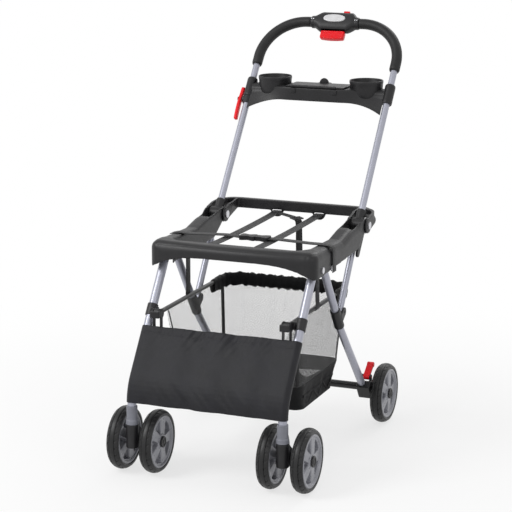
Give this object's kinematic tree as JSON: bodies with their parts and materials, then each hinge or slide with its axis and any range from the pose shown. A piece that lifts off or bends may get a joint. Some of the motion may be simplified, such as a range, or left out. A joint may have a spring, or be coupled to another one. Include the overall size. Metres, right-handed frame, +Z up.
{
  "type": "car seat stroller frame",
  "caption": "Folding stroller frame that carries an infant car seat in a ring, with a bowed handle, parent tray, mesh basket, twin front casters and rear brakes.",
  "frame": {"origin": "on the floor under the middle of the part's box", "axes": "+Z up, the front faces -Y, X across"},
  "size_m": [0.4996, 0.9236, 1.0217],
  "materials": {
    "black_plastic": "satin moulded plastic",
    "silver_paint": "light silver paint",
    "steel": "bright steel",
    "grey_plastic": "satin grey moulded plastic",
    "red_plastic": "glossy red moulded plastic",
    "foam": "matt closed-cell foam",
    "tyre": "satin black tyre compound",
    "rim_plastic": "silver grey moulded plastic",
    "mesh": "open polyester mesh",
    "nylon": "woven black nylon",
    "black_paint": "satin black paint",
    "pearl_plastic": "bare pearl white plastic"
  },
  "bodies": {
    "seat_frame": {"seat_ring": "black_plastic", "rear_bar": "black_plastic", "hinge_pins": "steel", "leg_pins": "steel", "harness_straps": "nylon", "strap_adjuster": "black_plastic", "buckle_socket": "black_plastic", "buckle_tongue": "black_plastic"},
    "handle": {"handle_tube": "silver_paint", "grip_left": "foam", "grip_right": "foam", "console_front": "black_plastic", "console_back": "black_plastic", "badge_plate": "pearl_plastic", "console_screws": "steel", "tray_body": "black_plastic", "hinge_fittings": "black_plastic", "latch_bracket": "black_plastic"},
    "lid": {"tray_lid": "black_plastic"},
    "trigger": {"release_trigger": "red_plastic"},
    "slider": {"lock_slider": "red_plastic"},
    "latch": {"fold_latch": "red_plastic"},
    "plungers": {"lock_plungers": "steel"},
    "front_legs": {"front_leg_left": "silver_paint", "front_leg_right": "silver_paint", "leg_ends": "grey_plastic", "front_crossbar": "silver_paint", "front_panel": "nylon", "bar_forks": "black_plastic"},
    "rear_legs": {"rear_leg_left": "silver_paint", "rear_leg_right": "silver_paint", "rear_crossbar": "black_paint", "axle_brackets": "black_plastic", "rear_axles": "steel", "strut_brackets": "black_plastic"},
    "struts": {"strut_left": "silver_paint", "strut_right": "silver_paint"},
    "basket": {"basket_bar": "black_paint", "basket_mesh": "mesh", "basket_base": "nylon", "basket_hem": "nylon", "basket_straps": "nylon"},
    "caster_left": {"caster_fork_left": "black_plastic", "front_axle_left": "steel"},
    "front_wheel_left_outer": {"front_tyre_left_outer": "tyre", "front_rim_left_outer": "rim_plastic"},
    "front_wheel_left_inner": {"front_tyre_left_inner": "tyre", "front_rim_left_inner": "rim_plastic"},
    "rear_wheel_left": {"rear_tyre_left": "tyre", "rear_rim_left": "rim_plastic"},
    "pedal_left": {"brake_pedal_left": "red_plastic"},
    "caster_right": {"caster_fork_right": "black_plastic", "front_axle_right": "steel"},
    "front_wheel_right_outer": {"front_tyre_right_outer": "tyre", "front_rim_right_outer": "rim_plastic"},
    "front_wheel_right_inner": {"front_tyre_right_inner": "tyre", "front_rim_right_inner": "rim_plastic"},
    "rear_wheel_right": {"rear_tyre_right": "tyre", "rear_rim_right": "rim_plastic"},
    "pedal_right": {"brake_pedal_right": "red_plastic"}
  },
  "joints": [
    {"name": "handle_fold", "type": "hinge", "parent": "seat_frame", "child": "handle", "pos_m": [0, 0.08121, 0.533], "axis": [1, 0, 0], "range_deg": [0, 112.5], "deforming": ["basket_mesh", "basket_base", "basket_hem", "basket_straps"]},
    {"name": "rear_leg_fold", "type": "hinge", "parent": "seat_frame", "child": "rear_legs", "pos_m": [0, -0.17379, 0.481], "axis": [1, 0, 0], "range_deg": [0, 45.33]},
    {"name": "front_leg_fold", "type": "hinge", "parent": "seat_frame", "child": "front_legs", "pos_m": [0, -0.23679, 0.489], "axis": [1, 0, 0], "range_deg": [0, 95]},
    {"name": "strut_fold", "type": "hinge", "parent": "rear_legs", "child": "struts", "pos_m": [0, -0.05165, 0.3443], "axis": [1, 0, 0], "range_deg": [-85.8, 0]},
    {"name": "basket_fold", "type": "hinge", "parent": "front_legs", "child": "basket", "pos_m": [0, -0.33861, 0.375], "axis": [1, 0, 0], "range_deg": [-80, 0]},
    {"name": "caster_swivel_left", "type": "hinge", "parent": "front_legs", "child": "caster_left", "pos_m": [-0.189, -0.43179, 0.156], "axis": [0, 0, 1], "continuous": true},
    {"name": "front_wheel_left_outer_spin", "type": "hinge", "parent": "caster_left", "child": "front_wheel_left_outer", "pos_m": [-0.23075, -0.38579, 0.076], "axis": [1, 0, 0], "continuous": true},
    {"name": "front_wheel_left_inner_spin", "type": "hinge", "parent": "caster_left", "child": "front_wheel_left_inner", "pos_m": [-0.14725, -0.38579, 0.076], "axis": [1, 0, 0], "continuous": true},
    {"name": "rear_wheel_left_spin", "type": "hinge", "parent": "rear_legs", "child": "rear_wheel_left", "pos_m": [-0.229, 0.18421, 0.076], "axis": [1, 0, 0], "continuous": true},
    {"name": "brake_pedal_left_press", "type": "hinge", "parent": "rear_legs", "child": "pedal_left", "pos_m": [-0.194, 0.14621, 0.124], "axis": [1, 0, 0], "range_deg": [-25, 0]},
    {"name": "caster_swivel_right", "type": "hinge", "parent": "front_legs", "child": "caster_right", "pos_m": [0.189, -0.43179, 0.156], "axis": [0, 0, 1], "continuous": true},
    {"name": "front_wheel_right_outer_spin", "type": "hinge", "parent": "caster_right", "child": "front_wheel_right_outer", "pos_m": [0.23075, -0.38579, 0.076], "axis": [1, 0, 0], "continuous": true},
    {"name": "front_wheel_right_inner_spin", "type": "hinge", "parent": "caster_right", "child": "front_wheel_right_inner", "pos_m": [0.14725, -0.38579, 0.076], "axis": [1, 0, 0], "continuous": true},
    {"name": "rear_wheel_right_spin", "type": "hinge", "parent": "rear_legs", "child": "rear_wheel_right", "pos_m": [0.229, 0.18421, 0.076], "axis": [1, 0, 0], "continuous": true},
    {"name": "brake_pedal_right_press", "type": "hinge", "parent": "rear_legs", "child": "pedal_right", "pos_m": [0.194, 0.14621, 0.124], "axis": [1, 0, 0], "range_deg": [-25, 0]},
    {"name": "tray_lid_open", "type": "hinge", "parent": "handle", "child": "lid", "pos_m": [0, 0.26559, 0.84194], "axis": [1, 0, 0], "range_deg": [0, 80]},
    {"name": "trigger_pull", "type": "slide", "parent": "handle", "child": "trigger", "axis": [0, 0.6088, 0.7934], "range_m": [0, 0.01], "stiffness_N_per_m": 600},
    {"name": "plunger_lift", "type": "slide", "parent": "handle", "child": "plungers", "axis": [0, 0.6088, 0.7934], "range_m": [0, 0.008]},
    {"name": "lock_slide", "type": "slide", "parent": "handle", "child": "slider", "axis": [1, 0, 0], "range_m": [0, 0.006]},
    {"name": "fold_latch_swing", "type": "hinge", "parent": "handle", "child": "latch", "pos_m": [-0.2085, 0.28393, 0.79719], "axis": [1, 0, 0], "range_deg": [-30, 0]}
  ],
  "couplings": [
    {"joint": "rear_leg_fold", "follows": "handle_fold", "ratio": 0.40291},
    {"joint": "front_leg_fold", "follows": "handle_fold", "ratio": 0.84444},
    {"joint": "strut_fold", "follows": "handle_fold", "ratio": -0.76262},
    {"joint": "basket_fold", "follows": "handle_fold", "ratio": -0.71111},
    {"joint": "plunger_lift", "follows": "trigger_pull", "ratio": 0.8}
  ]
}
